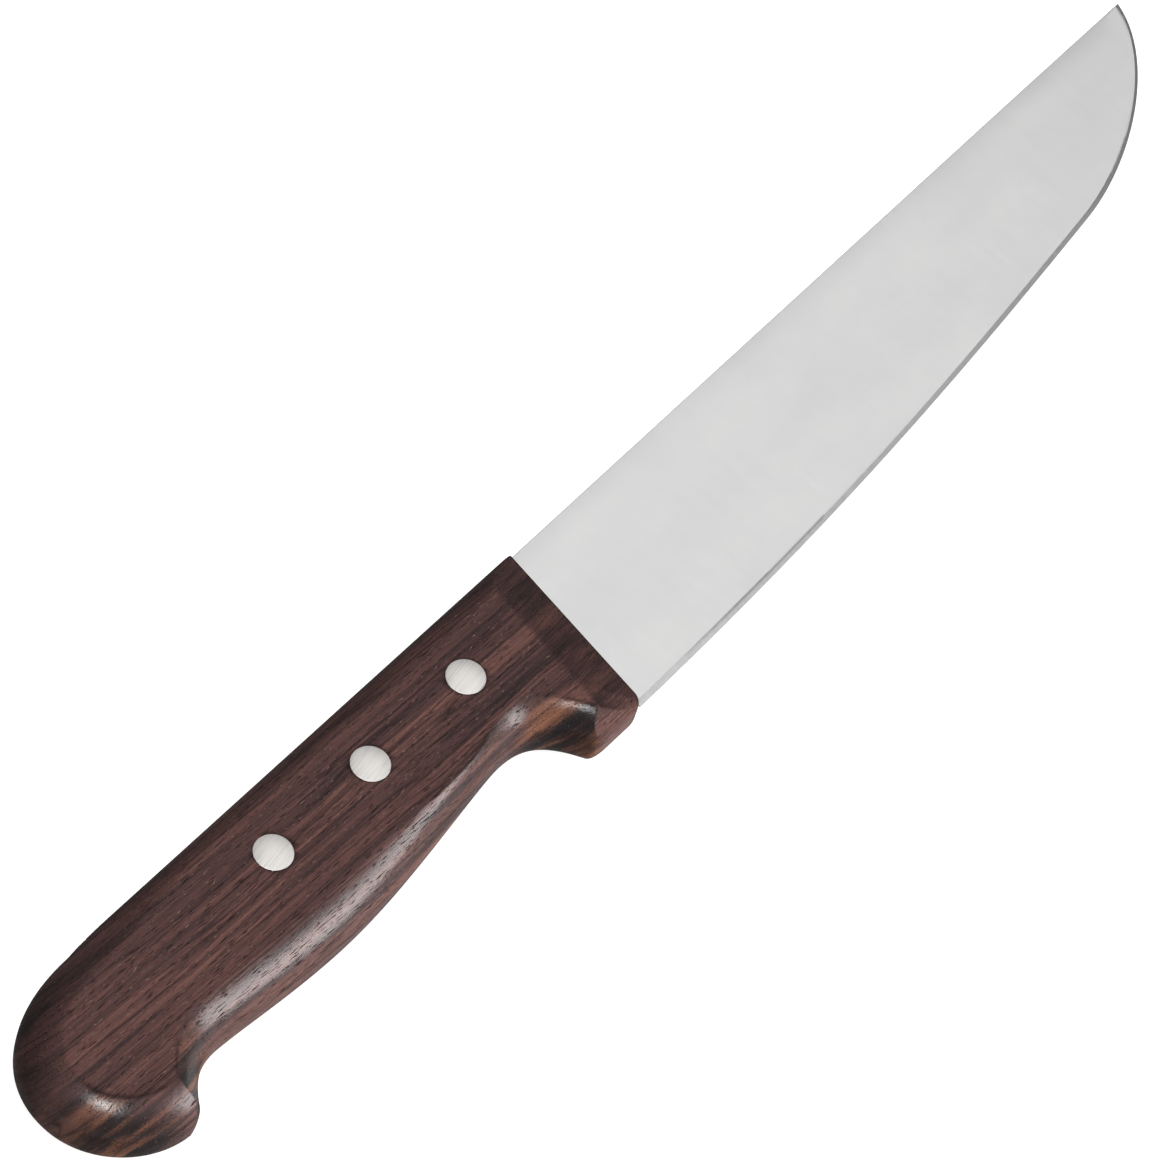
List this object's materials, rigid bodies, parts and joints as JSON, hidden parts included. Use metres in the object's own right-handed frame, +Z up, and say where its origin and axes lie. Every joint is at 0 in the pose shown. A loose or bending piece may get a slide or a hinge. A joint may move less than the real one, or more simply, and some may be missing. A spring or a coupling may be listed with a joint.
{
  "type": "chef knife",
  "caption": "Wide kitchen knife: straight-spined steel blade with an upswept belly, in a riveted one-piece wooden handle with guard and beak.",
  "frame": {"origin": "under the middle of the knife's box, on the surface that the knife lies on with its left side up", "axes": "+X along the spine to the point, +Y from the cutting edge to the spine, +Z up out of the handle's side"},
  "size_m": [0.3214, 0.0376, 0.015],
  "materials": {
    "blade_steel": "fine satin polish, bright sharpened edge",
    "handle_wood": "dark striped rosewood, oiled and sanded smooth",
    "rivet_metal": "sanded flush with the wood, fine straight scratches"
  },
  "bodies": {
    "root": {"blade": "blade_steel", "handle": "handle_wood", "rivet_male_1": "rivet_metal", "rivet_male_2": "rivet_metal", "rivet_male_3": "rivet_metal", "rivet_female_1": "rivet_metal", "rivet_female_2": "rivet_metal", "rivet_female_3": "rivet_metal"}
  },
  "joints": []
}
